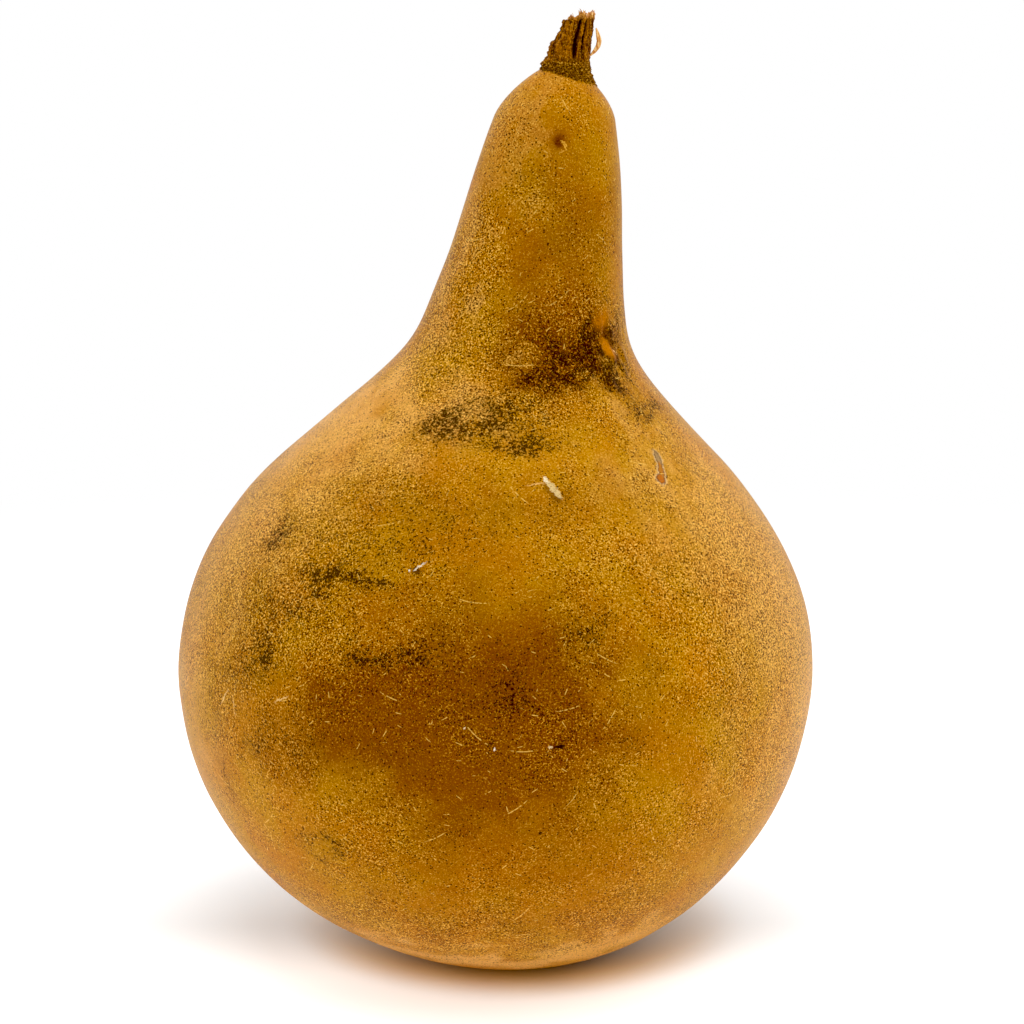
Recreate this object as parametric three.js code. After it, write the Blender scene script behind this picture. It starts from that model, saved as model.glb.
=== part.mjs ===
// Dried bottle gourd, standing on its base: the whole fruit with its leaning neck,
// and the dry ribbed stem that is still attached to the top of the neck.
// Millimetres, +Z up, origin at the middle of the flat that the gourd stands on.
import * as THREE from 'three';

// The wall of the fruit, from the edge of the flat base up to the seat of the stem.
// Each station gives the radius and height of the wall there, the way the wall runs
// (degrees turned up from level, outward being 0), and how far that direction holds
// before and after the station.
const WALL = [
  { radius: 15, height: 0, run: 10, before: 0, after: 38 },
  { radius: 80, height: 75.5, run: 90, before: 36, after: 27 },
  { radius: 54, height: 129.5, run: 136.5, before: 11, after: 26 },
  { radius: 25, height: 164, run: 105, before: 12, after: 20 },
  { radius: 15, height: 212.5, run: 105, before: 18, after: 4 },
  { radius: 8, height: 222.5, run: 173, before: 1, after: 0 },
];
const RINGS_PER_STRETCH = 9;
const WALL_SEGMENTS = 48;

// The neck bends over to the right from here up, and a little to the rear.
const BEND_START = 96;
const BEND_TOP = 222.5;
const BEND_MID_REACH = 12;
const BEND_TOP_REACH = 15.5;
const REAR_LEAN = 4;
// The rings of the neck tip over with it, by this angle, between two heights.
const RING_TIP = 0.035;
const TIP_START = 90;
const TIP_END = 150;
// The fruit settled on one side of its blossom end while it grew.
const BASE_SHIFT = 5;
const BASE_SHIFT_FADE = 5;
// Out of round: flatter from front to rear, and slightly skewed.
const DEPTH_FLATTENING = 0.025;
const SKEW = 0.008;

// The stem: five rounded ribs, wide at the seat, narrower where it broke off.
const STEM_HEIGHT = 15.6;
const STEM_BASE_RADIUS = 6.2;
const STEM_TOP_RADIUS = 3.9;
const STEM_FLARE = 0.6;
const STEM_FLARE_HEIGHT = 2.5;
const STEM_RIBS = 5;
const STEM_RIB_DEPTH = 0.09;
const STEM_SIDE_REACH = 5;
const STEM_BREAK_SLOPE = 0.15;
const STEM_RINGS = 10;
const STEM_SEGMENTS = 40;
const SEAT_GAP = 0.3;

const SKIN = { color: 0xbe7c12, roughness: 0.38, metalness: 0 };
const DRY_STEM = { color: 0x5a3a14, roughness: 0.9, metalness: 0 };

// A smooth step from 0 to 1 between two heights.
function smoothStep(low, high, value) {
  return THREE.MathUtils.smoothstep(value, low, high);
}

// The profile of the wall: a level base, then one cubic curve between each two stations.
function wallProfile() {
  const path = new THREE.Path();
  path.moveTo(0, 0);
  path.lineTo(WALL[0].radius, WALL[0].height);
  for (let i = 1; i < WALL.length; i += 1) {
    const from = WALL[i - 1];
    const to = WALL[i];
    const out = THREE.MathUtils.degToRad(from.run);
    const into = THREE.MathUtils.degToRad(to.run);
    path.bezierCurveTo(
      from.radius + from.after * Math.cos(out),
      from.height + from.after * Math.sin(out),
      to.radius - to.before * Math.cos(into),
      to.height - to.before * Math.sin(into),
      to.radius,
      to.height,
    );
  }
  const seat = WALL[WALL.length - 1];
  path.lineTo(0, seat.height);
  return path.getPoints(RINGS_PER_STRETCH);
}

// Where the middle of the ring at a height sits: a cubic bend to the right,
// a square-law lean to the rear, and the shifted base.
function ringCentre(height) {
  const bent = Math.max(0, (height - BEND_START) / (BEND_TOP - BEND_START));
  const rest = 1 - bent;
  const side = 3 * rest * bent * bent * BEND_MID_REACH + bent ** 3 * BEND_TOP_REACH;
  const belowWidest = Math.max(0, 1 - height / WALL[1].height);
  const shift = BASE_SHIFT * (belowWidest ** BASE_SHIFT_FADE - 1);
  return new THREE.Vector3(side + shift, REAR_LEAN * bent * bent, height);
}

function ringTip(height) {
  return RING_TIP * smoothStep(TIP_START, TIP_END, height);
}

// Moves every vertex of a geometry by a function of its position.
function reshape(geometry, move) {
  const position = geometry.attributes.position;
  const point = new THREE.Vector3();
  for (let i = 0; i < position.count; i += 1) {
    point.fromBufferAttribute(position, i);
    position.setXYZ(i, ...move(point).toArray());
  }
  geometry.computeVertexNormals();
  return geometry;
}

// A turned shape with its axis along Z.
function turned(profile, segments) {
  return new THREE.LatheGeometry(profile, segments).rotateX(Math.PI / 2);
}

// The fruit: the turned wall made out of round, each ring tipped and carried along the bend.
function gourdBody() {
  const geometry = reshape(turned(wallProfile(), WALL_SEGMENTS), (p) => {
    const around = Math.atan2(p.y, p.x);
    const flat = DEPTH_FLATTENING * Math.sin(around) ** 2;
    const roundness = 1 - flat + SKEW * Math.sin(2 * around);
    const tip = ringTip(p.z);
    const across = p.x * roundness;
    const offset = new THREE.Vector3(across * Math.cos(tip), p.y * roundness, -across * Math.sin(tip));
    return ringCentre(p.z).add(offset);
  });
  const mesh = new THREE.Mesh(geometry, new THREE.MeshStandardMaterial(SKIN));
  mesh.name = 'gourd_body';
  return mesh;
}

// The stem's profile: a flared foot that narrows to the broken top.
function stemProfile() {
  const points = [new THREE.Vector2(0, 0)];
  for (let i = 0; i <= STEM_RINGS; i += 1) {
    const up = i / STEM_RINGS;
    const height = up * STEM_HEIGHT;
    const flare = STEM_FLARE * Math.exp(-height / STEM_FLARE_HEIGHT);
    const radius = THREE.MathUtils.lerp(STEM_BASE_RADIUS, STEM_TOP_RADIUS, up) + flare;
    points.push(new THREE.Vector2(radius, height));
  }
  points.push(new THREE.Vector2(0, STEM_HEIGHT));
  return points;
}

// The stem: a turned taper pushed out into ribs, leaning over, with a sloping broken top.
function stemStub() {
  const geometry = reshape(turned(stemProfile(), STEM_SEGMENTS), (p) => {
    const around = Math.atan2(p.y, p.x);
    const ribbed = 1 + STEM_RIB_DEPTH * Math.cos(STEM_RIBS * around);
    const up = p.z / STEM_HEIGHT;
    const broken = STEM_BREAK_SLOPE * p.x * up * up;
    return new THREE.Vector3(p.x * ribbed + STEM_SIDE_REACH * up, p.y * ribbed, p.z + broken);
  });
  const mesh = new THREE.Mesh(geometry, new THREE.MeshStandardMaterial(DRY_STEM));
  mesh.name = 'stem_stub';
  mesh.position.z = SEAT_GAP;
  return mesh;
}

const gourd = new THREE.Group();
gourd.add(gourdBody());

// The stem stands square on its seat, which tips over with the top ring of the neck.
const seat = new THREE.Group();
seat.position.copy(ringCentre(BEND_TOP));
seat.rotation.y = ringTip(BEND_TOP);
seat.add(stemStub());
gourd.add(seat);

export default gourd;
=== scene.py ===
import bpy
import numpy as np
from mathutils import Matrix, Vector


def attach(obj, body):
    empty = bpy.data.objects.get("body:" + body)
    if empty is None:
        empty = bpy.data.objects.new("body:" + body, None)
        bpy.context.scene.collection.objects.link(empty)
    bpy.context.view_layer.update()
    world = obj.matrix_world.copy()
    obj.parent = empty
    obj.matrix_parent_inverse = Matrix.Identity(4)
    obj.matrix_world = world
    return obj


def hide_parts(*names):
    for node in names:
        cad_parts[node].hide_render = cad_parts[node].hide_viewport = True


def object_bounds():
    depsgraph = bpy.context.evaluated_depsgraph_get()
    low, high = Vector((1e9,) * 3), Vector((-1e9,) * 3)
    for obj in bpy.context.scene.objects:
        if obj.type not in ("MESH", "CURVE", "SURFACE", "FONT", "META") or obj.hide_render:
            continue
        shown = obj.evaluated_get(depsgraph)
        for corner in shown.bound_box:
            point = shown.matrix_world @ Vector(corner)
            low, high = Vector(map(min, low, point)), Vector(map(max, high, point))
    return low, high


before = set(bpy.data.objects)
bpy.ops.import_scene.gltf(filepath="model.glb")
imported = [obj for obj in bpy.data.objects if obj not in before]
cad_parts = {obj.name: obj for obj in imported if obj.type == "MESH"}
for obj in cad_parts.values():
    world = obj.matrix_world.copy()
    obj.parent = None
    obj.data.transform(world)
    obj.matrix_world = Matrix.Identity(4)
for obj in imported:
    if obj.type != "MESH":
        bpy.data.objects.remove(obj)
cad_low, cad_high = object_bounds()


# ---- The fruit ---------------------------------------------------------------------------
# The rind of a bottle gourd, grown in one piece and dried hard and woody. It is a round
# belly that settled on one side of its blossom end, with a neck that leans to the right.

# The gourd's sizes are in millimetres, and become metres when a mesh or a material is made.
MM = 0.001

# Stations up the wall, from the edge of the flat base to the top of the neck, under the
# stem: radius and height in millimetres, the way the wall runs there in degrees up from
# level, and how far that direction holds before and after the station.
WALL = [
    (15, 0, 10, 0, 38),
    (80, 75.5, 90, 36, 27),
    (54, 129.5, 136.5, 11, 26),
    (25, 164, 105, 12, 20),
    (15, 212.5, 105, 18, 4.5),
    (3, 225.2, 160, 5, 0),
]
WIDEST_HEIGHT = WALL[1][1]
POINTS_PER_STRETCH = 200
# Between two heights the neck bends over to the right and a little to the rear, and its
# rings tip over with it. The base is shifted, and the whole fruit is a little out of round.
BEND_START, BEND_TOP = 96, 222.5
BEND_MID_REACH, BEND_TOP_REACH = 12, 15.5
REAR_LEAN = 4
RING_TIP, TIP_START, TIP_END = 0.035, 90, 150
BASE_SHIFT, BASE_SHIFT_FADE = 5, 5
DEPTH_FLATTENING, SKEW = 0.025, 0.008
SKIN_RINGS, SKIN_SEGMENTS = 250, 392


def smooth_step(value, low, high):
    """3s^2 - 2s^3, where s is how far value has come from low to high, kept in 0 to 1."""
    s = np.clip((value - low) / (high - low), 0, 1)
    return s * s * (3 - 2 * s)


def wall_line(count):
    """The wall's profile: a level base, then one cubic curve between each two stations,
    then a small level top, with count points spaced evenly along it. Millimetres."""
    t = np.linspace(0, 1, POINTS_PER_STRETCH)[:, None]
    stretches = [np.array([[0.0, 0.0]])]
    for low, high in zip(WALL[:-1], WALL[1:]):
        start, end = np.array(low[:2], float), np.array(high[:2], float)
        out, into = np.radians(low[2]), np.radians(high[2])
        first = start + low[4] * np.array([np.cos(out), np.sin(out)])
        second = end - high[3] * np.array([np.cos(into), np.sin(into)])
        stretches.append(
            (1 - t) ** 3 * start
            + 3 * (1 - t) ** 2 * t * first
            + 3 * (1 - t) * t**2 * second
            + t**3 * end
        )
    stretches.append(np.array([[0.0, WALL[-1][1]]]))
    line = np.vstack(stretches)
    step = np.linalg.norm(np.diff(line, axis=0), axis=1)
    along = np.concatenate([[0], np.cumsum(step)])
    even = np.linspace(0, along[-1], count)
    return np.interp(even, along, line[:, 0]), np.interp(even, along, line[:, 1]), even


def on_wall(angle, radius, height):
    """Places in millimetres: a ring point made out of round by its angle, tipped over with
    the neck, and carried along a cubic bend to the right and a square-law lean to the rear."""
    bent = np.maximum(0, (height - BEND_START) / (BEND_TOP - BEND_START))
    side = 3 * (1 - bent) * bent**2 * BEND_MID_REACH + bent**3 * BEND_TOP_REACH
    side = side + BASE_SHIFT * (np.maximum(0, 1 - height / WIDEST_HEIGHT) ** BASE_SHIFT_FADE - 1)
    tip = RING_TIP * smooth_step(height, TIP_START, TIP_END)
    roundness = 1 - DEPTH_FLATTENING * np.sin(angle) ** 2 + SKEW * np.sin(2 * angle)
    across = radius * np.cos(angle) * roundness
    x = side + across * np.cos(tip)
    y = REAR_LEAN * bent**2 + radius * np.sin(angle) * roundness
    return np.stack([x, y, height - across * np.sin(tip)], axis=-1)


def swell(places, size, seed, waves=28):
    """Smooth noise of unit spread: sine waves of about the given size in random directions."""
    draw = np.random.default_rng(seed)
    way = draw.normal(size=(waves, 3))
    way /= np.linalg.norm(way, axis=1)[:, None]
    pace = 2 * np.pi / size * draw.uniform(0.6, 1.7, waves)
    phase = draw.uniform(0, 2 * np.pi, waves)
    return np.sin(places @ (way * pace[:, None]).T + phase).sum(-1) * np.sqrt(2 / waves)


def ring_faces(rings, segments):
    """Quads between neighbouring rings of a round grid, closed by a fan at each end. The
    first and last vertices are the two end points."""
    i = np.arange(rings - 1)[:, None] * segments + 1
    j = np.arange(segments)[None, :]
    right = (j + 1) % segments
    quads = np.stack([i + j, i + right, i + segments + right, i + segments + j], axis=-1)
    first, last = np.arange(segments), np.arange(segments) + (rings - 1) * segments
    turn = (np.arange(segments) + 1) % segments
    top = rings * segments + 1
    start = np.stack([np.zeros(segments, int), turn + 1, first + 1], axis=-1)
    end = np.stack([np.full(segments, top), last + 1, turn + (rings - 1) * segments + 1], axis=-1)
    return quads.reshape(-1, 4).tolist() + start.tolist() + end.tolist()


def make_piece(name, places, faces, smooth=True):
    """A mesh object from places in metres and lists of vertex numbers."""
    mesh = bpy.data.meshes.new(name)
    mesh.from_pydata(places.tolist(), [], faces)
    mesh.polygons.foreach_set("use_smooth", np.full(len(mesh.polygons), smooth))
    mesh.update()
    piece = bpy.data.objects.new(name, mesh)
    bpy.context.scene.collection.objects.link(piece)
    return piece


def paint(piece, name, values):
    """Stores one number at each vertex, for the material to read."""
    layer = piece.data.attributes.new(name, "FLOAT", "POINT")
    layer.data.foreach_set("value", np.asarray(values, np.float32))


ring_radius, ring_height, ring_along = wall_line(SKIN_RINGS + 2)
ring_radius, ring_height, ring_along = ring_radius[1:-1], ring_height[1:-1], ring_along[1:-1]
skin_angle = np.tile(np.arange(SKIN_SEGMENTS) * 2 * np.pi / SKIN_SEGMENTS, (SKIN_RINGS, 1))
skin_radius = np.repeat(ring_radius[:, None], SKIN_SEGMENTS, 1)
skin_height = np.repeat(ring_height[:, None], SKIN_SEGMENTS, 1)
skin_along = np.repeat(ring_along[:, None], SKIN_SEGMENTS, 1)
ring_places = on_wall(skin_angle, skin_radius, skin_height).reshape(-1, 3)
base_place = on_wall(np.array([0.0]), np.array([0.0]), np.array([0.0]))
seat_place = on_wall(np.array([0.0]), np.array([0.0]), np.array([float(WALL[-1][1])]))
smooth_places = np.vstack([base_place, ring_places, seat_place])


def at_ends(grid):
    """A ring grid as one row, with the two end points given their nearest ring's value."""
    return np.concatenate([[grid[0, 0]], grid.ravel(), [grid[-1, 0]]])


angle = at_ends((skin_angle + np.pi) % (2 * np.pi) - np.pi)
radius = at_ends(skin_radius)
height = at_ends(skin_height)
along = at_ends(skin_along)

# The wall is never quite true: shallow swellings all over, fading out at the flat base.
outward = np.stack([np.cos(angle), np.sin(angle), np.zeros_like(angle)], axis=-1)
BROAD_LUMPS, FINE_LUMPS = 0.14, 0.05
SETTLED_BELOW, LUMPY_ABOVE = 1, 14
settle = smooth_step(height, SETTLED_BELOW, LUMPY_ABOVE)
lumps = BROAD_LUMPS * swell(smooth_places, 60, 3) + FINE_LUMPS * swell(smooth_places, 20, 4)
skin_places = smooth_places + outward * (lumps * settle)[:, None]


def ring_at(mark_height):
    """The number of the ring nearest to a height, leaving out the rings of the level base."""
    return np.argmin(np.abs(ring_height - mark_height) + 1000 * (ring_height < 1))


def spot(mark_angle, mark_height, spread):
    """A soft round patch on the rind: exp(-distance^2 / spread^2)."""
    ring = ring_at(mark_height)
    middle = on_wall(np.radians(mark_angle), ring_radius[ring], ring_height[ring])
    return np.exp(-(((smooth_places - middle) / spread) ** 2).sum(-1))


# The little scar on the neck is a dimple with a raised lip, and the scab is crusty.
SCAR_DEPTH, SCAR_LIP, CRUST_HEIGHT = 0.45, 0.18, 0.22
dent = SCAR_DEPTH * spot(-85, 208, 2.0) - SCAR_LIP * spot(-84, 208, 4.0)
scab = spot(-54, 157, 9) + 0.7 * spot(-34, 158, 9)
crust = CRUST_HEIGHT * swell(smooth_places, 4.5, 5) * scab
skin_places += outward * (crust - dent)[:, None]

skin = make_piece("gourd_skin", skin_places * MM, ring_faces(SKIN_RINGS, SKIN_SEGMENTS))


# The marks on the rind, each a soft patch: angle round the fruit in degrees (the front is
# -90, the right side 0), height in millimetres, half its width and half its height in
# millimetres, and its strength.
SOOT = [
    (-51, 158, 8, 7, 1.05),      # the dark scab where the neck meets the right shoulder
    (-58, 157, 7, 6, 0.8),
    (-48, 164, 5, 4, 0.9),
    (-38, 153, 7, 4, 0.9),
    (-36, 162, 4, 5, 0.4),
    (-34, 168, 5, 3, 0.35),
    (-26, 146, 8, 4, 0.8),
    (-77, 156, 5, 5, 0.8),
    (-70, 153, 5, 3, 0.6),
    (-112, 143, 6, 3, 0.6),      # grey crust across the front of the shoulder
    (-114, 140, 5, 4, 0.7),
    (-101, 143, 13, 5, 0.65),
    (-88, 146, 12, 5, 0.6),
    (-88, 150, 3, 4, 0.5),
    (-94, 139, 8, 2.2, 0.6),
    (-80, 140, 7, 2.6, 0.7),
    (-76, 127, 4, 6, 0.5),
    (-116, 128, 12, 6, 0.4),
    (-108, 120, 12, 7, 0.35),
    (-122, 118, 16, 6, 0.35),
    (-94, 122, 14, 7, 0.35),
    (-142, 117, 4.5, 3.5, 0.8),
    (-124, 110, 9, 3, 0.8),
    (-112, 110, 8, 2.5, 0.7),
    (-132, 104, 8, 3, 0.6),
    (-134, 93, 7, 6, 0.9),
    (-140, 84, 6, 5, 0.5),
    (-112, 95, 7, 3, 0.75),
    (-103, 97, 6, 3, 0.6),
    (-74, 100, 6, 3, 0.6),
    (-70, 105, 8, 4, 0.5),
    (-86, 87, 9, 3, 0.5),
    (-79, 77, 3, 2.5, 0.8),
    (-92, 76, 4, 1.8, 0.7),
    (-68, 76, 5, 4, 0.45),
    (-128, 74, 12, 4, 0.45),
    (-136, 70, 5, 3, 0.6),
    (-126, 45, 4, 3, 0.7),
    (-122, 49, 2, 1.5, 0.8),
    (-146, 58, 4, 7, 0.55),
    (-96, 58, 20, 2.5, 0.35),
    (-148, 78, 5, 9, 0.4),
    (-126, 106, 20, 14, 0.25),
    (-96, 92, 30, 14, 0.2),
]
# Brown stains, and painted shade: the broad bands over the front of the belly darken the side that
# gets least light.
BROWN = [
    (-90, 72, 44, 34, 0.35),     # the whole front of the belly is deeper in colour: painted shade
    (-90, 40, 60, 13, 0.3),
    (-88, 88, 27, 14, 1.05),     # the brown cloud in the middle of the belly
    (-92, 73, 28, 13, 1.05),
    (-115, 82, 16, 12, 0.9),
    (-76, 186, 14, 34, 0.3),
    (-128, 70, 12, 10, 0.3),
    (-62, 182, 14, 22, 0.38),    # the duller band up the middle of the neck
    (-80, 162, 13, 12, 0.3),
    (-52, 158, 14, 8, 1.0),
    (-76, 154, 7, 5, 0.7),
    (-100, 52, 24, 12, 0.25),
    (-74, 52, 24, 12, 0.22),
    (-88, 27, 60, 9, 0.4),
    (-94, 108, 26, 10, 0.4),
    (-92, 128, 30, 7, 0.45),
    (-78, 99, 14, 7, 0.15),
    (-52, 92, 12, 8, -0.15),
]
# Pale patches, partly pale rind and partly painted light: the broad ones down both sides and round
# the foot are painted rim light and light thrown up from the floor.
PALE = [
    (174, 134, 26, 16, 0.75),    # the pale left shoulder: pale rind with painted rim light on it
    (-140, 140, 20, 12, 0.7),
    (-110, 148, 12, 6, 0.5),
    (-34, 142, 5, 5, 0.5),
    (-36, 124, 22, 14, 0.45),
    (-20, 100, 26, 30, 0.6),
    (-4, 70, 20, 40, 0.7),
    (-28, 76, 18, 30, 0.35),
    (-160, 90, 16, 30, 0.6),
    (-150, 118, 16, 14, 0.5),
    (-150, 176, 7, 26, 0.7),
    (-120, 212, 5, 14, 0.3),
    # painted light round the foot, thrown up from the floor
    (-90, 8, 80, 9, 0.5),
    (-106, 11, 50, 7, 0.85),
    (-58, 16, 30, 5, 0.45),
    (179, 17, 22, 14, 0.25),
]
CROWDED = [
    (-140, 176, 14, 26, 0.8),    # the left of the neck and of its root
    (-125, 154, 16, 12, 0.7),
    (-100, 150, 20, 8, 0.5),
    (-40, 122, 22, 20, 0.5),     # the upper right of the belly
    (-20, 96, 22, 26, 0.6),
    (-150, 108, 26, 26, 0.6),
    (-128, 96, 20, 26, 0.4),
    (-48, 168, 12, 12, 0.4),
    (-40, 78, 30, 28, 0.4),
    (-90, 24, 70, 14, 0.35),
    (-85, 202, 30, 22, -0.16),   # smoother towards the top of the neck
    (-86, 208, 6, 6, -0.2),
]


def patches(marks, fray):
    """Adds up soft round patches, strength * exp(-distance^2), measured along the surface
    after the places have been pushed about by noise, so that no edge runs true."""
    wide = [fray * swell(smooth_places, 14, seed) for seed in (11, 12)]
    fine = [0.4 * fray * swell(smooth_places, 4, seed) for seed in (13, 14)]
    pushed_across, pushed_up = wide[0] + fine[0], wide[1] + fine[1]
    total = np.zeros(len(angle))
    for mark_angle, mark_height, half_width, half_height, strength in marks:
        turn = (angle - np.radians(mark_angle) + np.pi) % (2 * np.pi) - np.pi
        ring = ring_at(mark_height)
        across = (turn * radius + pushed_across) / half_width
        up = (along - ring_along[ring] + pushed_up) / half_height
        total += strength * np.exp(-(across**2 + up**2))
    return total


# Away from the marks the same stains come by chance, faint all round the fruit and strong
# at the rear. How far each kind of patch is pushed about by the noise is in millimetres.
SOOT_FRAY, BROWN_FRAY, PALE_FRAY, CROWDED_FRAY = 1.5, 2.2, 5, 2.8
chance = smooth_step(swell(smooth_places, 34, 21) + 0.5 * swell(smooth_places, 11, 22), 0.9, 2.4)
rear = smooth_step(np.sin(angle), -0.35, 0.25)
stray = smooth_step(swell(smooth_places, 26, 27) + 0.7 * swell(smooth_places, 7, 28), 0.6, 2.6)
soot = patches(SOOT, SOOT_FRAY) + 0.22 * stray + 0.7 * chance * rear
paint(skin, "soot", np.clip(soot, 0, 1))
mottle = smooth_step(swell(smooth_places, 48, 23) + 0.4 * swell(smooth_places, 16, 24), 0.2, 2.2)
brown = patches(BROWN, BROWN_FRAY) + (0.2 + 0.6 * mottle) * rear
paint(skin, "brown", np.clip(brown, 0, 1))
paint(skin, "pale", np.clip(patches(PALE, PALE_FRAY), 0, 1))
crowding = 0.26 + patches(CROWDED, CROWDED_FRAY)
crowding = crowding + 0.10 * swell(smooth_places, 40, 25) + 0.08 * swell(smooth_places, 12, 26)
crowding = crowding + rear * (0.18 + 0.12 * swell(smooth_places, 60, 29))
paint(skin, "crowding", np.clip(crowding, 0.08, 1))


class Finish:
    """A material and the few kinds of node that its pattern is put together from."""

    def __init__(self, name):
        self.material = bpy.data.materials.new(name)
        self.material.use_nodes = True
        self.nodes = self.material.node_tree.nodes
        self.links = self.material.node_tree.links
        self.shader = self.nodes["Principled BSDF"]
        coordinates = self.nodes.new("ShaderNodeTexCoord")
        self.places, self.facing = coordinates.outputs["Object"], coordinates.outputs["Normal"]

    def set(self, socket, value):
        """Joins a socket to another, or gives it a value; three numbers make a full colour."""
        if isinstance(value, bpy.types.NodeSocket):
            self.links.new(value, socket)
        elif isinstance(value, tuple) and len(value) == 3 and socket.type == "RGBA":
            socket.default_value = (*value, 1)
        else:
            socket.default_value = value

    def node(self, kind, inputs, output=0, **settings):
        """Makes a node with the given settings and inputs, and returns one of its outputs."""
        made = self.nodes.new("ShaderNode" + kind)
        for name, value in settings.items():
            setattr(made, name, value)
        for key, value in inputs.items():
            self.set(made.inputs[key], value)
        return made.outputs[output]

    def painted(self, name):
        """The number painted at the vertices under a name."""
        return self.node("Attribute", {}, "Fac", attribute_name=name)

    def math(self, operation, first, second=0.0, clamp=False):
        """Arithmetic on two numbers, kept in 0 to 1 when clamp is set."""
        return self.node("Math", {0: first, 1: second}, operation=operation, use_clamp=clamp)

    def steps(self, value, low, high, start=0.0, end=1.0):
        """Goes smoothly from start to end as value goes from low to high."""
        inputs = {"Value": value, "From Min": low, "From Max": high, "To Min": start, "To Max": end}
        return self.node("MapRange", inputs, interpolation_type="SMOOTHSTEP")

    def mix(self, share, first, second):
        """A colour that goes from first to second as share goes from 0 to 1."""
        made = self.nodes.new("ShaderNodeMix")
        made.data_type = "RGBA"
        for number, value in ((0, share), (6, first), (7, second)):
            self.set(made.inputs[number], value)
        return made.outputs[2]

    def vector(self, operation, first, second=None, output="Vector"):
        """Arithmetic on one or two vectors."""
        inputs = {0: first} if second is None else {0: first, 1: second}
        return self.node("VectorMath", inputs, output, operation=operation)

    def noise(self, size, detail=2.0, roughness=0.5, places=None, output="Fac"):
        """Cloudy noise whose lumps are about size millimetres across."""
        inputs = {"Vector": places or self.places, "Scale": 1 / (size * MM)}
        inputs.update({"Detail": detail, "Roughness": roughness})
        return self.node("TexNoise", inputs, output)

    def cells(self, size, output, places=None):
        """Cells about size millimetres across, each round its own scattered point."""
        inputs = {"Vector": places or self.places, "Scale": 1 / (size * MM)}
        return self.node("TexVoronoi", inputs, output)

    def channel(self, colour, name):
        """The red, green or blue of a colour."""
        return self.node("SeparateColor", {0: colour}, name)


def linear(red, green, blue):
    """A screen colour of 0 to 255 as the linear light that shaders work in."""
    value = np.array([red, green, blue]) / 255
    light = np.where(value <= 0.04045, value / 12.92, ((value + 0.055) / 1.055) ** 2.4)
    return tuple(light.tolist())


# Small marks, each an oval with a ragged edge: angle in degrees, height, half its width and
# half its height in millimetres, how far its top leans to the left in degrees, how much of
# it has the full colour, its strength, and its screen colour.
DETAILS = [
    (-85, 208.4, 3.2, 3.4, 0, 0.0, 0.85, (116, 50, 0)),   # the little scar high on the neck
    (-86, 208.2, 1.6, 2.1, 10, 0.1, 0.85, (88, 32, 0)),
    (-81.5, 208.7, 0.9, 0.32, -25, 0.5, 0.9, (232, 170, 60)),
    (-79.2, 207.6, 0.32, 1.1, 10, 0.5, 0.9, (230, 168, 60)),
    (-82, 206.0, 0.8, 0.32, 20, 0.5, 0.8, (222, 160, 60)),
    (-34.5, 158.6, 2.3, 4.2, 34, 0.5, 0.6, (96, 40, 0)),   # bare streaks in the scab
    (-37, 159.5, 1.9, 3.8, 34, 0.4, 0.95, (206, 126, 6)),
    (-40, 166.5, 4.4, 3.2, 30, 0.1, 0.85, (198, 118, 4)),
    (-31, 158, 0.22, 1.2, 34, 0.5, 0.9, (244, 190, 120)),
    (-39.8, 135.3, 1.4, 2.7, -14, 0.6, 0.75, (226, 196, 148)),   # the worm track: lips, then bed
    (-41.5, 132.7, 1.3, 3.2, -26, 0.6, 0.75, (226, 196, 148)),
    (-43.4, 130.9, 1.8, 1.9, -20, 0.6, 0.75, (226, 196, 148)),
    (-39.8, 135.3, 0.95, 2.4, -14, 0.8, 1.0, (108, 76, 36)),
    (-41.5, 132.7, 0.9, 3.0, -26, 0.8, 1.0, (118, 66, 18)),
    (-43.4, 130.9, 1.35, 1.5, -20, 0.8, 1.0, (112, 58, 14)),
    (-39.8, 135.3, 0.65, 2.1, -14, 0.7, 1.0, (166, 132, 84)),
    (-41.5, 132.7, 0.65, 2.8, -26, 0.7, 1.0, (184, 116, 34)),
    (-43.4, 130.9, 1.0, 1.2, -20, 0.7, 1.0, (190, 106, 24)),
    (-77.6, 130.4, 1.15, 3.9, 28, 0.6, 0.6, (104, 62, 8)),   # the lifted curl of cuticle, with a painted shadow under it
    (-77.2, 130.7, 0.85, 3.5, 28, 0.75, 0.9, (224, 194, 132)),
    # a painted highlight on the curl
    (-79.0, 132.6, 0.55, 1.2, 20, 0.5, 0.9, (246, 228, 190)),
    (-76.8, 129.8, 0.18, 2.2, 34, 0.5, 0.7, (120, 80, 20)),
    (-81.8, 131.9, 0.25, 2.6, -80, 0.5, 0.8, (238, 186, 110)),
    (-106.5, 114.2, 1.3, 1.1, -40, 0.5, 0.8, (50, 26, 6)),   # a crumb of lime in a dark nick
    (-106, 115, 0.28, 2.1, -48, 0.5, 0.9, (250, 232, 204)),
    (-108, 114, 0.35, 0.35, 0, 0.5, 1.0, (255, 246, 230)),
    (-79, 76, 1.4, 0.45, 0, 0.6, 1.0, (34, 14, 2)),
    (-80.5, 76.5, 0.6, 0.3, 0, 0.6, 0.9, (236, 206, 150)),
    (-90, 76, 0.3, 0.3, 0, 0.6, 1.0, (255, 232, 200)),
    (-95, 81, 0.3, 0.3, 0, 0.6, 1.0, (250, 220, 170)),
    (-82, 55, 0.45, 0.5, 0, 0.6, 1.0, (40, 14, 2)),
    (-142.5, 117, 0.7, 0.5, 20, 0.6, 0.9, (60, 28, 4)),
    (-144, 79, 0.15, 3.2, -35, 0.5, 0.9, (250, 206, 130)),
    (-141, 78, 0.15, 3.0, 12, 0.5, 0.8, (250, 206, 130)),
    (-129, 83, 0.2, 2.6, -66, 0.5, 0.9, (250, 206, 130)),
]


MARK_REACH = 3      # half the depth of a mark's oval, in millimetres
NEXT_TO = 0.02      # a small turn, in radians, that shows which way is sideways


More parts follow.
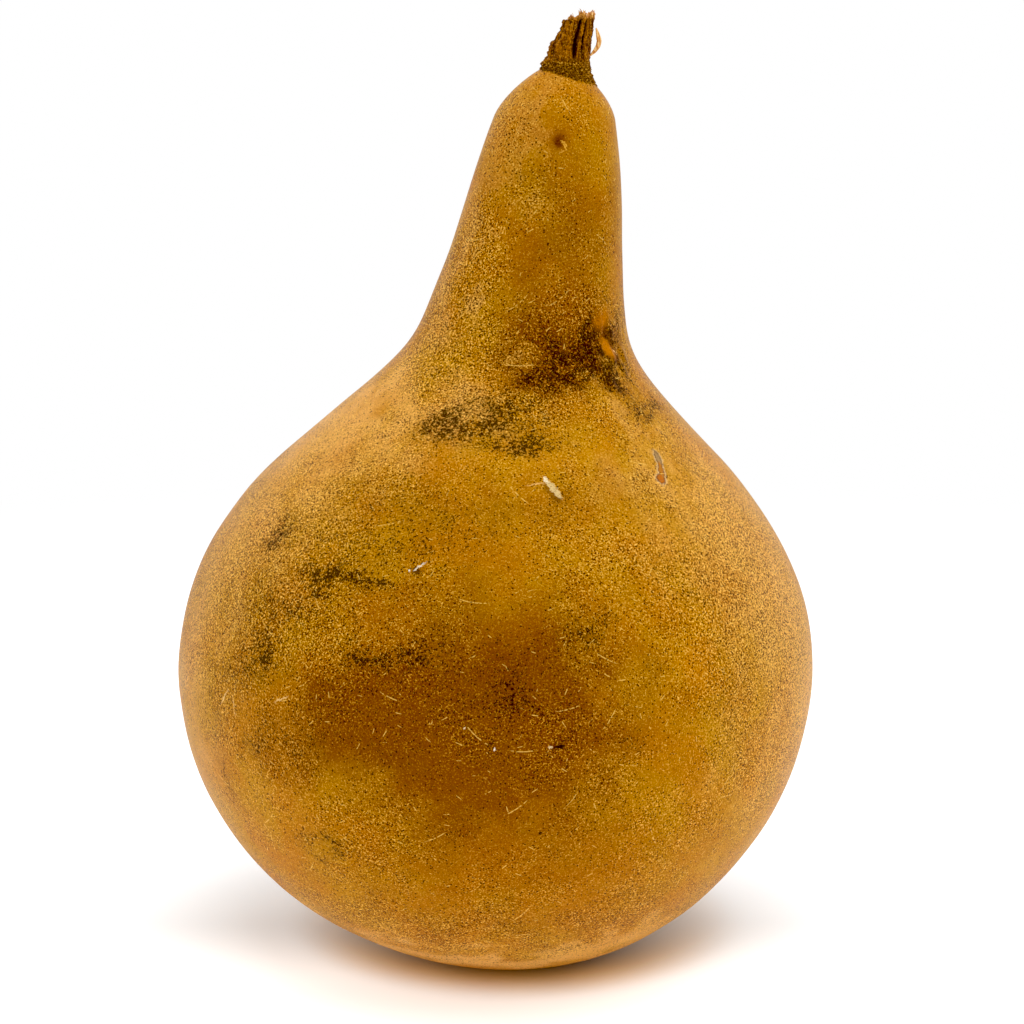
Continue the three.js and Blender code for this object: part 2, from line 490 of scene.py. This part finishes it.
def oval(f, places, mark_angle, mark_height, half_width, half_height, lean):
    """How far each place is from the middle of a mark on the rind, in half-widths: the places
    are moved to the mark, turned to lie along the wall there, and shrunk by its half sizes."""
    ring = ring_at(mark_height)
    turn = np.radians(mark_angle)
    middle, aside, above = (
        on_wall(np.array(turn + more), np.array(ring_radius[up]), np.array(ring_height[up]))
        for more, up in ((0, ring), (NEXT_TO, ring), (0, ring + 1))
    )
    side = (aside - middle) / np.linalg.norm(aside - middle)
    out = np.cross(side, above - middle)
    out /= np.linalg.norm(out)
    up = np.cross(out, side)
    tilt = np.radians(lean)
    across = np.cos(tilt) * side + np.sin(tilt) * up
    along_mark = np.cos(tilt) * up - np.sin(tilt) * side
    axes = Matrix(np.stack([across, along_mark, out], axis=1).tolist())
    inputs = {"Vector": places, "Location": tuple(middle * MM), "Rotation": tuple(axes.to_euler())}
    inputs["Scale"] = (half_width * MM, half_height * MM, MARK_REACH * MM)
    moved = f.node("Mapping", inputs, vector_type="TEXTURE")
    return f.vector("LENGTH", moved, output="Value")


STROKE_BOW = 30     # a scratch strays from straight by this times its reach squared, in metres
MID_GREY = (0.5, 0.5, 0.5)


def strokes(f, cell, length, width, share):
    """Short bowed lines lying along the rind, one in some of the cells: places whose distance
    from the cell's middle, measured across its own random way and bent by the square of the
    reach, is under half the width. Noise breaks them up."""
    middle = f.cells(cell, "Position")
    random = f.cells(cell, "Color")
    local = f.vector("SUBTRACT", f.places, middle)
    spin = f.vector("SUBTRACT", random, MID_GREY)
    way = f.vector("NORMALIZE", f.vector("CROSS_PRODUCT", f.facing, spin))
    reach = f.vector("LENGTH", local, output="Value")
    bow = f.math("MULTIPLY", f.math("POWER", reach, 2), STROKE_BOW)
    off = f.math("ABSOLUTE", f.math("ADD", f.vector("DOT_PRODUCT", local, way, "Value"), bow))
    line = f.steps(off, width * MM / 2, width * MM / 5)
    line = f.math("MULTIPLY", line, f.steps(reach, length * MM / 2, length * MM / 3))
    line = f.math("MULTIPLY", line, f.math("LESS_THAN", f.channel(random, "Red"), share))
    return f.math("MULTIPLY", line, f.steps(f.noise(0.7, 1), 0.38, 0.55))


AMBER, OLIVE_GOLD, DEEP_AMBER = linear(190, 120, 2), linear(190, 132, 6), linear(168, 108, 0)
PALE_AND_RIM_LIT, BROWN_STAIN_AND_SHADE = linear(236, 176, 92), linear(116, 54, 0)
SMOKED, SMOKED_BROWN = linear(146, 98, 26), linear(106, 50, 2)
SOOT_SPECK, BURNT_SPECK = linear(62, 36, 8), linear(38, 4, 0)
PALE_MEAL, TAN_MEAL, DARK_MEAL = linear(254, 198, 92), linear(214, 152, 50), linear(96, 38, 0)
FRECKLE, PIT, SCRATCHED = linear(118, 74, 2), linear(58, 20, 0), linear(240, 190, 90)
RIND_IOR = 1.13
RIND_SHEEN = (1.0, 0.72, 0.12, 1)
RIND_RELIEF = 0.12
# Two layers of pits, the second shifted so that they don't line up: the size of a cell, how
# far the layer is shifted in metres, how wide a pit is in its cell, and how many are let in.
PIT_LAYERS = [
    (0.95, None, 0.28, 1.0),
    (0.66, (0.013, 0.007, 0.019), 0.31, 1.1),
]
# How far noise frays the edges of the small marks, in metres.
MARK_FRAY = (0.0022, 0.0022, 0.0022)


def rind_finish():
    """Golden ochre, mottled, darkened by stains, peppered with dark pits and pale scratches, with
    painted light on the rims and the foot and painted shade over the front of the belly.
    """
    f = Finish("dried_rind")
    soot, brown, pale = f.painted("soot"), f.painted("brown"), f.painted("pale")
    crowding = f.painted("crowding")

    # The ground colour: ochre that drifts between amber and olive gold.
    drift = f.noise(16, 4, 0.6)
    colour = f.mix(f.steps(drift, 0.35, 0.65), AMBER, OLIVE_GOLD)
    deeper = f.math("MULTIPLY", f.steps(f.noise(7, 3), 0.45, 0.7), 0.35)
    colour = f.mix(deeper, colour, DEEP_AMBER)
    # Pale patches: part pale rind, part painted rim light and painted light from the floor round
    # the foot.
    colour = f.mix(f.math("MULTIPLY", pale, 0.75), colour, PALE_AND_RIM_LIT)
    # Brown stains, and painted shade over the front of the belly.
    colour = f.mix(f.math("MULTIPLY", brown, 0.85), colour, BROWN_STAIN_AND_SHADE)

    # Stains: sooty specks that run together where a stain is strong, with bare points left.
    clump = f.steps(f.noise(2.2, 2, 0.6), 0.3, 0.6, 0.5, 1.15)
    dirt = f.math("MULTIPLY", soot, clump)
    speck = f.noise(0.62, 3, 0.8)
    reach = f.math("SUBTRACT", 0.66, f.math("MULTIPLY", dirt, 0.21))
    sooted = f.node(
        "MapRange",
        {"Value": speck, "From Min": reach, "From Max": f.math("ADD", reach, 0.04)},
        interpolation_type="SMOOTHSTEP",
    )
    haze = f.math("MULTIPLY", dirt, 0.4)
    colour = f.mix(haze, colour, f.mix(brown, SMOKED, SMOKED_BROWN))
    specks = f.math("MULTIPLY", sooted, 0.96)
    colour = f.mix(specks, colour, f.mix(brown, SOOT_SPECK, BURNT_SPECK))

    # Grain: a fine meal of light and dark points, rougher where the pits crowd.
    grain = f.noise(0.42, 2, 0.7)
    mealy = f.steps(crowding, 0.05, 0.9, 0.45, 1.6)
    clean = f.math("MULTIPLY", mealy, f.steps(sooted, 0, 1, 1, 0.15))
    light = f.math("MULTIPLY", f.steps(grain, 0.52, 0.70), clean, True)
    colour = f.mix(light, colour, f.mix(brown, PALE_MEAL, TAN_MEAL))
    shade = f.math("MULTIPLY", f.steps(grain, 0.48, 0.30), clean, True)
    colour = f.mix(shade, colour, DARK_MEAL)

    # Blots: olive freckles a little larger than the grain.
    blot = f.steps(f.noise(1.3, 3, 0.7), 0.58, 0.68)
    blot = f.math("MULTIPLY", blot, f.steps(crowding, 0.1, 0.7, 0.3, 0.6))
    colour = f.mix(blot, colour, FRECKLE)

    # Pits: small dark dots, one in each cell that its crowding lets through.
    layers = [
        (size, f.vector("ADD", f.places, shift) if shift else f.places, wide, share)
        for size, shift, wide, share in PIT_LAYERS
    ]
    pits = None
    for size, places, wide, share in layers:
        near = f.cells(size, "Distance", places)
        luck = f.channel(f.cells(size, "Color", places), "Red")
        wanted = f.math("MULTIPLY", crowding, share)
        kept = f.math("LESS_THAN", luck, f.math("ADD", wanted, f.math("MULTIPLY", soot, 0.4)))
        dot = f.math("MULTIPLY", f.steps(near, wide, wide * 0.7), kept)
        pits = dot if pits is None else f.math("MAXIMUM", pits, dot)
    colour = f.mix(f.math("MULTIPLY", pits, 0.9), colour, PIT)

    # The small marks, with edges frayed by noise.
    frayed = f.vector("SUBTRACT", f.noise(0.8, 4, 0.8, output="Color"), MID_GREY)
    frayed = f.vector("ADD", f.vector("MULTIPLY", frayed, MARK_FRAY), f.places)
    worn = f.steps(grain, 0.34, 0.46, 0.45, 1)
    for *oval_sizes, core, strength, tint in DETAILS:
        inside = f.steps(oval(f, frayed, *oval_sizes), 1.15, core)
        share = f.math("MULTIPLY", f.math("MULTIPLY", inside, strength), worn)
        colour = f.mix(share, colour, linear(*tint))

    # Scratches in the dried cuticle, long and short.
    scratch = f.math("MAXIMUM", strokes(f, 10, 8, 0.40, 0.3), strokes(f, 3.4, 2.0, 0.34, 0.4))
    colour = f.mix(f.math("MULTIPLY", scratch, 0.75), colour, SCRATCHED)
    f.set(f.shader.inputs["Base Color"], colour)

    rough = f.steps(grain, 0.3, 0.7, 0.34, 0.44)
    rough = f.math("ADD", rough, f.math("MULTIPLY", sooted, 0.2))
    f.set(f.shader.inputs["Roughness"], rough)
    relief = f.math("SUBTRACT", f.math("MULTIPLY", scratch, 0.5), f.math("MULTIPLY", pits, 1.0))
    relief = f.math("ADD", relief, f.math("MULTIPLY", grain, 0.9))
    relief = f.math("ADD", relief, f.math("MULTIPLY", sooted, 0.8))
    bump = f.node("Bump", {"Height": relief, "Strength": 0.6, "Distance": RIND_RELIEF * MM})
    f.set(f.shader.inputs["Normal"], bump)
    f.shader.inputs["IOR"].default_value = RIND_IOR
    f.shader.inputs["Specular Tint"].default_value = RIND_SHEEN
    return f.material


skin.data.materials.append(rind_finish())
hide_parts("gourd_body")
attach(skin, "root")


# ---- The stem ----------------------------------------------------------------------------
# The dry stalk that the gourd hung by: soft ribs round a fibrous core, crumbling at
# the collar where it grips the neck and torn across where it was broken off.

# Stations up the stem: height over the middle of its seat, and how far its left and right
# edges lie from there, in millimetres. The left side is broken back in steps.
STEM = [
    (-2.2, -4.4, 9.2),
    (0.0, -4.4, 8.2),
    (1.5, -4.3, 7.6),
    (3.7, -4.3, 7.5),
    (4.2, -4.0, 7.5),
    (4.7, -3.2, 7.5),
    (6.3, -2.8, 7.6),
    (8.7, -2.0, 7.8),
    (9.4, -0.9, 7.9),
    (10.6, -0.5, 8.1),
    (11.4, 0.3, 8.3),
    (13.0, 0.6, 8.4),
    (15.5, 1.1, 8.8),
]
# The left edge as an even slope, without the steps, in the same way. Then half the stem's
# depth from front to rear, at its foot and at its top.
LEFT_SLOPE = [(-2.2, -4.9), (3.0, -4.1), (8.0, -2.4), (12.0, 0.0), (15.5, 1.1)]
STEM_DEPTH = (6.2, 3.9)
STEM_RINGS, STEM_SEGMENTS, TORN_RINGS = 190, 240, 14
# Grooves: angle and half width in degrees, and depth as a share of the radius.
GROOVES = [
    (-82, 8, 0.26),
    (-55, 6, 0.24),
    (-118, 7, 0.10),
    (-150, 9, 0.12),
    (-25, 7, 0.10),
    (20, 9, 0.16),
    (60, 8, 0.2),
    (98, 7, 0.14),
    (140, 9, 0.2),
    (175, 6, 0.12),
]
DEEPEST_GROOVE = max(depth for _, _, depth in GROOVES)
# The broken end, seen from the front: how far to the right, and how high.
TORN_EDGE = [
    (-1.0, 12.6),
    (1.2, 13.6),
    (2.5, 14.4),
    (4.0, 14.6),
    (5.7, 15.8),
    (7.0, 15.0),
    (8.8, 15.2),
]
STEM_TOP = STEM[-1][0]
STEM_HEIGHT = 15.6
seat = on_wall(0.0, 0.0, BEND_TOP)


def torn_top(x, around):
    """The height of the broken end: it rises to the right with one peak, and is ragged."""
    rise = np.interp(x, *np.array(TORN_EDGE).T)
    teeth = 0.22 * np.sin(9 * around + 1) + 0.18 * np.sin(17 * around + 2)
    teeth = teeth + 0.16 * np.sin(31 * around)
    return rise + teeth


def stem_places():
    """Rings between the left and right edges at each height, pressed in at the grooves and
    finely ribbed, then rings closing over the torn end, which is spiky and a little hollow.
    Away from its left edge the stem slopes evenly, without the steps."""
    up = np.linspace(0, 1, STEM_RINGS)[:, None]
    around = (np.arange(STEM_SEGMENTS) * 2 * np.pi / STEM_SEGMENTS)[None, :]
    table = np.array(STEM)
    foot = -0.9 - 1.5 * np.cos(around) - 0.6 * np.abs(np.sin(around))
    top_x = 4.9 + 3.9 * np.cos(around)
    z = foot + (torn_top(top_x, around) - foot) * up
    left = np.interp(z, table[:, 0], table[:, 1])
    right = np.interp(z, table[:, 0], table[:, 2])
    left_share = 0.5 - 0.5 * np.cos(around)
    slope = np.interp(z, *np.array(LEFT_SLOPE).T)
    left = slope + (left - slope) * left_share**5
    depth = STEM_DEPTH[0] + (STEM_DEPTH[1] - STEM_DEPTH[0]) * np.clip(z / STEM_TOP, -0.1, 1)
    groove = np.zeros_like(z)
    for at, wide, deep in GROOVES:
        lean = np.radians(at + 12 * (1 - np.clip((z - 4) / 7, 0, 1)))
        off = (around - lean + np.pi) % (2 * np.pi) - np.pi
        reach = smooth_step(z, 3.0, 6.5) * (1 - 0.6 * smooth_step(z, 13.2, 15.0))
        groove = np.maximum(groove, deep * reach * np.exp(-((off / np.radians(wide)) ** 2)))
    ribs = 1 - groove + 0.012 * np.sin(23 * around + 2.0 + 0.15 * z)
    ribs = ribs + 0.014 * np.cos(37 * around - 0.1 * z)
    ribs = ribs + 0.03 * left_share * np.sin(5 * z + 3 * around)
    middle, half = (left + right) / 2, (right - left) / 2
    x, y = middle + half * np.cos(around) * ribs, depth * np.sin(around) * ribs
    wall = np.stack([x, y, z], axis=-1)
    share = np.linspace(1, 0.06, TORN_RINGS + 1)[1:, None, None]
    heart = wall[-1].mean(0)
    over = heart + (wall[-1][None] - heart) * share
    spikes = 0.5 * swell(over.reshape(-1, 3) * (1, 1, 0), 1.0, 33).reshape(over.shape[:2])
    over[..., 2] += (spikes - 0.9) * smooth_step(1 - share[..., 0], 0, 0.35)
    ungrooved = np.zeros(over.shape[:2])
    return np.concatenate([wall, over]), np.concatenate([groove, ungrooved])


# The stem's skin is rough all over, and more so at the collar, where it crumbles.
stem_grid, stem_groove = stem_places()
stem_flat = stem_grid.reshape(-1, 3)
away = (stem_grid - stem_grid.mean(1, keepdims=True)) * (1, 1, 0)
away /= np.linalg.norm(away, axis=-1)[..., None]
crumble = 1 - smooth_step(stem_grid[..., 2], 2.0, 6.0)
rough = 0.07 * swell(stem_flat, 1.6, 31) + 0.05 * swell(stem_flat, 0.7, 32)
crumbs = 0.13 * swell(stem_flat, 1.1, 34) + 0.09 * swell(stem_flat, 0.6, 35)
rough = rough.reshape(crumble.shape) + crumbs.reshape(crumble.shape) * crumble
rough[STEM_RINGS:] = rough[STEM_RINGS - 1] * np.linspace(1, 0, TORN_RINGS + 1)[1:, None]
stem_grid = stem_grid + away * rough[..., None]
foot_place = stem_grid[0].mean(0) - (0, 0, 0.3)
heart_place = stem_grid[-1].mean(0)
stem_all = np.vstack([foot_place[None], stem_grid.reshape(-1, 3), heart_place[None]]) + seat
stem = make_piece("stem", stem_all * MM, ring_faces(STEM_RINGS + TORN_RINGS, STEM_SEGMENTS))
paint(stem, "groove", at_ends(stem_groove / DEEPEST_GROOVE))
paint(stem, "stem_height", at_ends(stem_grid[..., 2]) / STEM_HEIGHT)


def sliver(path, width, thickness, flat_way):
    """A closed flat strip along a path, whose width follows the sine of the way along it to
    the power 0.7, down to about a fifth of the full width at its ends. Its flat side faces
    the given way. Returns places and faces."""
    way = np.gradient(path, axis=0)
    way /= np.linalg.norm(way, axis=1)[:, None]
    side = np.cross(way, flat_way)
    side /= np.linalg.norm(side, axis=1)[:, None]
    out = np.cross(side, way)
    t = np.linspace(0, 1, len(path))[:, None]
    taper = 0.08 + 0.92 * np.sin(np.pi * np.clip(t, 0.02, 0.98)) ** 0.7
    corners = [(-1, -1), (1, -1), (1, 1), (-1, 1)]
    rows = [path + taper * (a * width / 2 * side + b * thickness / 2 * out) for a, b in corners]
    places = np.stack(rows, axis=1).reshape(-1, 3)
    faces = [[3, 2, 1, 0]]
    for k in range(0, 4 * (len(path) - 1), 4):
        faces += [[k + j, k + (j + 1) % 4, k + 4 + (j + 1) % 4, k + 4 + j] for j in range(4)]
    last = 4 * (len(path) - 1)
    faces.append([last, last + 1, last + 2, last + 3])
    return places, faces


# The peeled strip: how far to the right it bows at each share of its length.
STRIP_POINTS = 12
STRIP_BOW = [(0, 9.0), (0.2, 9.4), (0.45, 9.8), (0.65, 9.5), (0.85, 8.5), (1, 7.3)]
STRIP_TOP, STRIP_FOOT, STRIP_FORWARD = 12.1, 5.2, 0.6
STRIP_WIDTH, STRIP_THICKNESS = 1.4, 0.3
# The torn fibres: most stand from the front round to the right of the rim, the rest behind.
TORN_FIBRES, NEAR_FIBRES = 46, 34
FIBRE_THICKNESS = 0.14


def fibre_places():
    """The peeled strip that bows out from the right side, and short torn fibres standing
    round the broken rim, each leaning its own way."""
    draw = np.random.default_rng(41)
    strip_x = np.interp(np.linspace(0, 1, STRIP_POINTS), *np.array(STRIP_BOW).T)
    strip_z = np.linspace(STRIP_TOP, STRIP_FOOT, STRIP_POINTS)
    strip = np.stack([strip_x, np.full(STRIP_POINTS, -STRIP_FORWARD), strip_z], axis=-1)
    parts = [sliver(strip, STRIP_WIDTH, STRIP_THICKNESS, np.array([0.9, -1.0, 0.0]))]
    rim = stem_grid[STEM_RINGS - 1]
    for k in range(TORN_FIBRES):
        at = draw.uniform(-1.5, 0.9) if k < NEAR_FIBRES else draw.uniform(0.9, 2.4)
        start = rim[int(at / (2 * np.pi) * STEM_SEGMENTS) % STEM_SEGMENTS]
        inward = draw.uniform(0, 0.25)
        start = start + (rim.mean(0) - start) * inward
        length = draw.uniform(0.4, 1.1)
        bend = draw.normal(0, 0.35, 3) * (1, 1, 0)
        t = np.linspace(-0.6, 1, 6)[:, None]
        path = start + np.array([0, 0, length]) * t + bend * length * np.maximum(t, 0) ** 1.5
        width = draw.uniform(0.25, 0.55)
        flat_way = draw.normal(size=3) * (1, 1, 0.1)
        parts.append(sliver(path, width, FIBRE_THICKNESS, flat_way))
    places, faces = [], []
    for part_places, part_faces in parts:
        base = sum(len(p) for p in places)
        places.append(part_places)
        faces += [[base + v for v in face] for face in part_faces]
    return np.vstack(places), faces


fibre_at, fibre_faces = fibre_places()
fibres = make_piece("stem_fibres", (fibre_at + seat) * MM, fibre_faces, smooth=False)


BARK, BARK_STREAK = linear(84, 34, 0), linear(176, 108, 6)
COLLAR, DARK_CRUMB, PALE_CRUMB = linear(138, 92, 6), linear(66, 26, 0), linear(220, 166, 56)
GROOVE_SHADOW, TORN_WOOD = linear(30, 4, 0), linear(214, 150, 66)
FIBRE, FIBRE_STREAK = linear(206, 128, 38), linear(250, 202, 128)
STEM_RELIEF = 0.25


def stem_finish():
    """Golden brown with painted shade, near-black, in the grooves along it, olive-gold crumbs among
    dark ones on the collar, and pale torn wood at the top."""
    f = Finish("dry_stalk")
    groove, up = f.painted("groove"), f.painted("stem_height")
    stretched = f.node("Mapping", {"Vector": f.places, "Scale": (1, 1, 0.16)})
    streak = f.noise(0.7, 3, 0.65, stretched)
    colour = f.mix(f.steps(streak, 0.40, 0.60), BARK, BARK_STREAK)
    crumb = f.noise(0.45, 2, 0.7)
    collar = f.steps(up, 0.38, 0.18)
    colour = f.mix(f.math("MULTIPLY", collar, 0.7), colour, COLLAR)
    for low, high, least, tint in ((0.50, 0.42, 0.4, DARK_CRUMB), (0.54, 0.66, 0.5, PALE_CRUMB)):
        crumbs_here = f.steps(crumb, low, high)
        crumbs_here = f.math("MULTIPLY", crumbs_here, f.steps(collar, 0, 1, least, 0.9))
        colour = f.mix(crumbs_here, colour, tint)
    # Painted shade: the grooves are darkened towards near-black by their depth.
    colour = f.mix(f.math("MULTIPLY", f.steps(groove, 0.2, 0.8), 0.92), colour, GROOVE_SHADOW)
    torn = f.math("MULTIPLY", f.steps(up, 0.90, 0.97), f.steps(crumb, 0.35, 0.6, 0.3, 1))
    colour = f.mix(torn, colour, TORN_WOOD)
    f.set(f.shader.inputs["Base Color"], colour)
    f.shader.inputs["Roughness"].default_value = 0.8
    f.shader.inputs["Specular IOR Level"].default_value = 0.1
    height = f.math("ADD", streak, f.math("MULTIPLY", crumb, 0.6))
    bump = f.node("Bump", {"Height": height, "Strength": 0.7, "Distance": STEM_RELIEF * MM})
    f.set(f.shader.inputs["Normal"], bump)
    return f.material


def fibre_finish():
    """Pale orange dry fibre, streaked lighter."""
    f = Finish("torn_fibre")
    stretched = f.node("Mapping", {"Vector": f.places, "Scale": (1, 1, 0.2)})
    streak = f.noise(0.5, 2, 0.6, stretched)
    colour = f.mix(f.steps(streak, 0.4, 0.6), FIBRE, FIBRE_STREAK)
    f.set(f.shader.inputs["Base Color"], colour)
    f.shader.inputs["Roughness"].default_value = 0.8
    return f.material


stem.data.materials.append(stem_finish())
fibres.data.materials.append(fibre_finish())
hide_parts("stem_stub")
for part in (stem, fibres):
    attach(part, "root")


# ---- The floor and the light ---------------------------------------------------------------
# A white floor that burns out to white away from the gourd, with a soft shadow painted round it,
# a surround that is bright behind and above it and dims towards the front, and one soft box
# overhead.

# Half the floor's side, and the middle of the painted shadow, a little behind the gourd's, in
# metres.
FLOOR_HALF = 8.0
SHADOW_MIDDLE = (0, 0.022, 0)


def floor_finish():
    """Matt grey close to the gourd and whiter further out, a painted shadow, fading into a plain
    white glow further off. A weaker glow, stronger in front, fills the shadow by its distance from
    the shadow's middle; warm close in, it is painted light bounced off the rind."""
    f = Finish("white_floor")
    far = f.vector("LENGTH", f.places, output="Value")
    glow = f.node("Emission", {"Color": (1.0, 1.0, 1.0), "Strength": 1.0})
    front = f.node("SeparateXYZ", {0: f.places}, "Y")
    off = f.vector("LENGTH", f.vector("SUBTRACT", f.places, SHADOW_MIDDLE), output="Value")
    # Painted light: a glow that grows with distance from the shadow's middle, stronger in front,
    # fills the shadow.
    lift = f.steps(off, 0.036, 0.065, 0.02, 0.66)
    lift = f.math("MULTIPLY", lift, f.steps(front, -0.03, 0.02, 1, 0.3))
    seen = f.steps(f.node("LightPath", {}, "Is Camera Ray"), 0, 1, 0.7, 1)
    # Painted bounce light: the glow is warm close to the gourd.
    warm = f.mix(f.steps(off, 0.042, 0.062), (1.0, 0.5, 0.12), (1.0, 0.97, 0.95))
    painted_fill_glow = f.node("Emission", {"Color": warm, "Strength": f.math("MULTIPLY", lift, seen)})
    # Painted shadow: the matt floor is greyer close to the gourd.
    pale = f.mix(f.steps(off, 0.06, 0.14), (0.82, 0.85, 0.87), (0.95, 0.95, 0.95))
    matt = f.node("BsdfDiffuse", {"Color": pale, "Roughness": 0.0})
    matt = f.node("AddShader", {0: matt, 1: painted_fill_glow})
    both = f.node("MixShader", {0: f.steps(far, 0.25, 0.60), 1: matt, 2: glow})
    f.links.new(both, f.nodes["Material Output"].inputs["Surface"])
    f.nodes.remove(f.shader)
    return f.material


corners = np.array([[-1, -1, 0], [1, -1, 0], [1, 1, 0], [-1, 1, 0]]) * FLOOR_HALF
floor = make_piece("floor", corners, [[0, 1, 2, 3]], smooth=False)
floor.data.materials.append(floor_finish())


def surround():
    """Light by direction: a smooth step of how far it comes from behind and above, from dim
    to bright. Seen directly, all white."""
    world = bpy.data.worlds.new("surround")
    world.use_nodes = True
    nodes, links = world.node_tree.nodes, world.node_tree.links
    light = nodes["Background"]
    way = nodes.new("ShaderNodeTexCoord").outputs["Generated"]
    facing = nodes.new("ShaderNodeVectorMath")
    facing.operation = "DOT_PRODUCT"
    links.new(way, facing.inputs[0])
    facing.inputs[1].default_value = (0, 0.9, 0.6)
    level = nodes.new("ShaderNodeMapRange")
    level.interpolation_type = "SMOOTHSTEP"
    links.new(facing.outputs["Value"], level.inputs["Value"])
    for name, value in (("From Min", -0.2), ("From Max", 0.55), ("To Min", 0.04), ("To Max", 1.2)):
        level.inputs[name].default_value = value
    links.new(level.outputs[0], light.inputs["Strength"])
    seen = nodes.new("ShaderNodeBackground")
    both = nodes.new("ShaderNodeMixShader")
    links.new(nodes.new("ShaderNodeLightPath").outputs["Is Camera Ray"], both.inputs[0])
    links.new(light.outputs[0], both.inputs[1])
    links.new(seen.outputs[0], both.inputs[2])
    seen.inputs["Color"].default_value = (1, 1, 1, 1)
    light.inputs["Color"].default_value = (1, 1, 1, 1)
    links.new(both.outputs[0], nodes["World Output"].inputs["Surface"])
    bpy.context.scene.world = world


def soft_box(name, azimuth, elevation, distance, size, power):
    """A square soft light aimed at the gourd's middle. Azimuth 0 is in front, 90 at right."""
    lamp = bpy.data.lights.new(name, "AREA")
    lamp.shape = "SQUARE"
    lamp.size = size
    lamp.energy = power
    made = bpy.data.objects.new(name, lamp)
    a, e = np.radians(azimuth), np.radians(elevation)
    back = np.array([np.sin(a) * np.cos(e), -np.cos(a) * np.cos(e), np.sin(e)])
    target = np.array((cad_low + cad_high) / 2)
    made.location = target + back * distance
    made.rotation_mode = "QUATERNION"
    made.rotation_quaternion = Vector(back).to_track_quat("Z", "Y")
    bpy.context.scene.collection.objects.link(made)


surround()
soft_box("overhead_box", azimuth=22, elevation=70, distance=1.7, size=1.5, power=21)


# ---- The camera ----------------------------------------------------------------------------
# A little above the top of the gourd and looking slightly down on it, with a long lens. The
# distances are in metres, the elevation in degrees, and lens and sensor in millimetres.

CAMERA_DISTANCE, CAMERA_ELEVATION, CAMERA_LENS = 0.75, 12, 105
SENSOR_WIDTH, FARTHEST_SEEN = 36, 50
AIM_RIGHT, AIM_UP = 4 * MM, -4.7 * MM

camera = bpy.data.objects.new("camera", bpy.data.cameras.new("camera"))
middle = (cad_low + cad_high) / 2
rise = np.radians(CAMERA_ELEVATION)
back = Vector((0, -np.cos(rise), np.sin(rise)))
camera.location = middle + Vector((AIM_RIGHT, 0, AIM_UP)) + back * CAMERA_DISTANCE
camera.rotation_mode = "QUATERNION"
camera.rotation_quaternion = back.to_track_quat("Z", "Y")
camera.data.lens = CAMERA_LENS
camera.data.sensor_width = SENSOR_WIDTH
camera.data.clip_end = FARTHEST_SEEN
bpy.context.scene.collection.objects.link(camera)
bpy.context.scene.camera = camera

# Plain tones, with everything up to a low black level made fully black.
BLACK_LEVEL = 0.008
view = bpy.context.scene.view_settings
view.view_transform = "Standard"
view.use_curve_mapping = True
view.curve_mapping.black_level = (BLACK_LEVEL, BLACK_LEVEL, BLACK_LEVEL)
view.curve_mapping.update()
